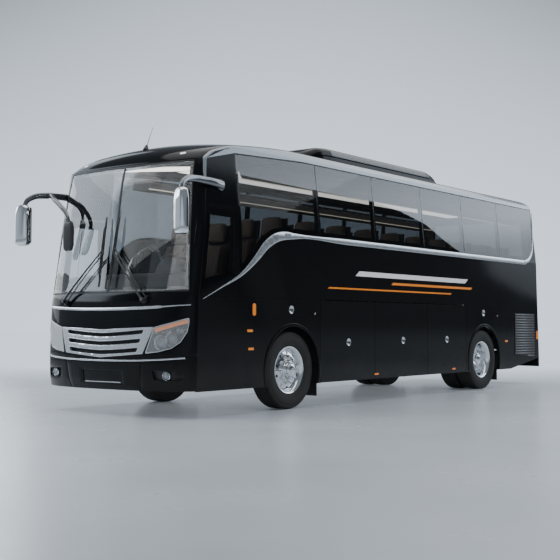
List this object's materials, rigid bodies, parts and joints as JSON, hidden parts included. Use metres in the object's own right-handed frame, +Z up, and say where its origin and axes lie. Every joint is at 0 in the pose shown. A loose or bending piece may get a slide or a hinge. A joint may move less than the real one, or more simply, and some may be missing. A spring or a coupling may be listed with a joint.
{
  "type": "coach bus",
  "caption": "Two-axle coach with a front passenger door, side luggage bays, a rear engine lid and steered front wheels; doors, lids and wheels move.",
  "frame": {"origin": "on the ground, midway between the two axles, on the centre line", "axes": "+X to the front of the coach, +Y to its left side, +Z up"},
  "size_m": [10.0596, 2.969, 3.64],
  "materials": {
    "body_paint": "gloss black",
    "floor_panel": "matt",
    "frame_metal": "satin",
    "cast_metal": "rough",
    "clear_glass": "clear, light tint",
    "dark_glass": "dark tint",
    "bright_trim": "polished",
    "lamp_lens": "clear",
    "red_lens": "gloss",
    "black_rubber": "matt",
    "tyre": "matt",
    "rim_metal": "polished",
    "unit_housing": "satin",
    "dash_plastic": "matt",
    "seat_leather": "satin"
  },
  "bodies": {
    "body": {"left_side_wall": "body_paint", "right_side_wall": "body_paint", "roof_shell": "body_paint", "front_shell": "body_paint", "front_bumper": "body_paint", "rear_shell": "body_paint", "cabin_floor": "floor_panel", "luggage_floor": "floor_panel", "chassis_frame": "frame_metal", "windshield": "clear_glass", "side_windows": "dark_glass", "rear_window": "dark_glass", "grille": "bright_trim", "headlamps": "lamp_lens", "tail_lamps": "red_lens", "engine_block": "cast_metal", "front_axle_beam": "cast_metal", "rear_axle": "cast_metal", "air_springs": "black_rubber", "mudflaps": "black_rubber", "exterior_mirrors": "bright_trim", "wipers": "black_rubber", "roof_air_conditioner": "unit_housing", "dashboard": "dash_plastic", "seat_bases": "seat_leather", "seat_backs": "seat_leather", "luggage_racks": "floor_panel"},
    "engine_lid": {"engine_lid": "body_paint"},
    "passenger_door": {"passenger_door": "body_paint", "passenger_door_glass": "clear_glass"},
    "passenger_door_arm": {"passenger_door_arm": "frame_metal"},
    "left_knuckle": {"left_knuckle": "cast_metal"},
    "right_knuckle": {"right_knuckle": "cast_metal"},
    "front_left_wheel": {"front_left_tyre": "tyre", "front_left_rim": "rim_metal"},
    "front_right_wheel": {"front_right_tyre": "tyre", "front_right_rim": "rim_metal"},
    "rear_left_wheel": {"rear_left_tyres": "tyre", "rear_left_rims": "rim_metal"},
    "rear_right_wheel": {"rear_right_tyres": "tyre", "rear_right_rims": "rim_metal"},
    "steering_wheel": {"steering_wheel": "dash_plastic"},
    "left_luggage_door_front": {"left_luggage_door_front": "body_paint"},
    "left_luggage_door_middle": {"left_luggage_door_middle": "body_paint"},
    "left_luggage_door_rear": {"left_luggage_door_rear": "body_paint"},
    "right_luggage_door_front": {"right_luggage_door_front": "body_paint"},
    "right_luggage_door_middle": {"right_luggage_door_middle": "body_paint"},
    "right_luggage_door_rear": {"right_luggage_door_rear": "body_paint"}
  },
  "joints": [
    {"name": "left_steer", "type": "hinge", "parent": "body", "child": "left_knuckle", "pos_m": [2.71, 0.93, 0.5], "axis": [0, 0, 1], "range_deg": [-40, 40]},
    {"name": "right_steer", "type": "hinge", "parent": "body", "child": "right_knuckle", "pos_m": [2.71, -0.93, 0.5], "axis": [0, 0, 1], "range_deg": [-40, 40]},
    {"name": "steering_wheel_turn", "type": "hinge", "parent": "body", "child": "steering_wheel", "pos_m": [4.19, 0.65, 1.8], "axis": [-0.5, 0, 0.866], "range_deg": [-600, 600]},
    {"name": "front_left_spin", "type": "hinge", "parent": "left_knuckle", "child": "front_left_wheel", "pos_m": [2.71, 1.07, 0.5], "axis": [0, 1, 0], "continuous": true},
    {"name": "front_right_spin", "type": "hinge", "parent": "right_knuckle", "child": "front_right_wheel", "pos_m": [2.71, -1.07, 0.5], "axis": [0, 1, 0], "continuous": true},
    {"name": "rear_left_spin", "type": "hinge", "parent": "body", "child": "rear_left_wheel", "pos_m": [-2.71, 1.075, 0.5], "axis": [0, 1, 0], "continuous": true},
    {"name": "rear_right_spin", "type": "hinge", "parent": "body", "child": "rear_right_wheel", "pos_m": [-2.71, -1.075, 0.5], "axis": [0, 1, 0], "continuous": true},
    {"name": "door_arm_swing", "type": "hinge", "parent": "body", "child": "passenger_door_arm", "pos_m": [4.4, -1.12, 0.9], "axis": [0, 0, 1], "range_deg": [0, 135]},
    {"name": "door_leaf_turn", "type": "hinge", "parent": "passenger_door_arm", "child": "passenger_door", "pos_m": [3.95, -1.12, 0.9], "axis": [0, 0, 1], "range_deg": [-135, 0]},
    {"name": "engine_lid_lift", "type": "hinge", "parent": "body", "child": "engine_lid", "pos_m": [-5.0168, 0, 1.484], "axis": [0, 1, 0], "range_deg": [0, 75]},
    {"name": "left_luggage_door_front_lift", "type": "hinge", "parent": "body", "child": "left_luggage_door_front", "pos_m": [1.43, 1.25, 1.416], "axis": [1, 0, 0], "range_deg": [0, 88]},
    {"name": "left_luggage_door_middle_lift", "type": "hinge", "parent": "body", "child": "left_luggage_door_middle", "pos_m": [0, 1.25, 1.416], "axis": [1, 0, 0], "range_deg": [0, 88]},
    {"name": "left_luggage_door_rear_lift", "type": "hinge", "parent": "body", "child": "left_luggage_door_rear", "pos_m": [-1.4, 1.25, 1.416], "axis": [1, 0, 0], "range_deg": [0, 88]},
    {"name": "right_luggage_door_front_lift", "type": "hinge", "parent": "body", "child": "right_luggage_door_front", "pos_m": [1.43, -1.25, 1.416], "axis": [-1, 0, 0], "range_deg": [0, 88]},
    {"name": "right_luggage_door_middle_lift", "type": "hinge", "parent": "body", "child": "right_luggage_door_middle", "pos_m": [0, -1.25, 1.416], "axis": [-1, 0, 0], "range_deg": [0, 88]},
    {"name": "right_luggage_door_rear_lift", "type": "hinge", "parent": "body", "child": "right_luggage_door_rear", "pos_m": [-1.4, -1.25, 1.416], "axis": [-1, 0, 0], "range_deg": [0, 88]}
  ],
  "couplings": [
    {"joint": "right_steer", "follows": "left_steer", "ratio": 1},
    {"joint": "steering_wheel_turn", "follows": "left_steer", "ratio": 15},
    {"joint": "door_leaf_turn", "follows": "door_arm_swing", "ratio": -1}
  ]
}
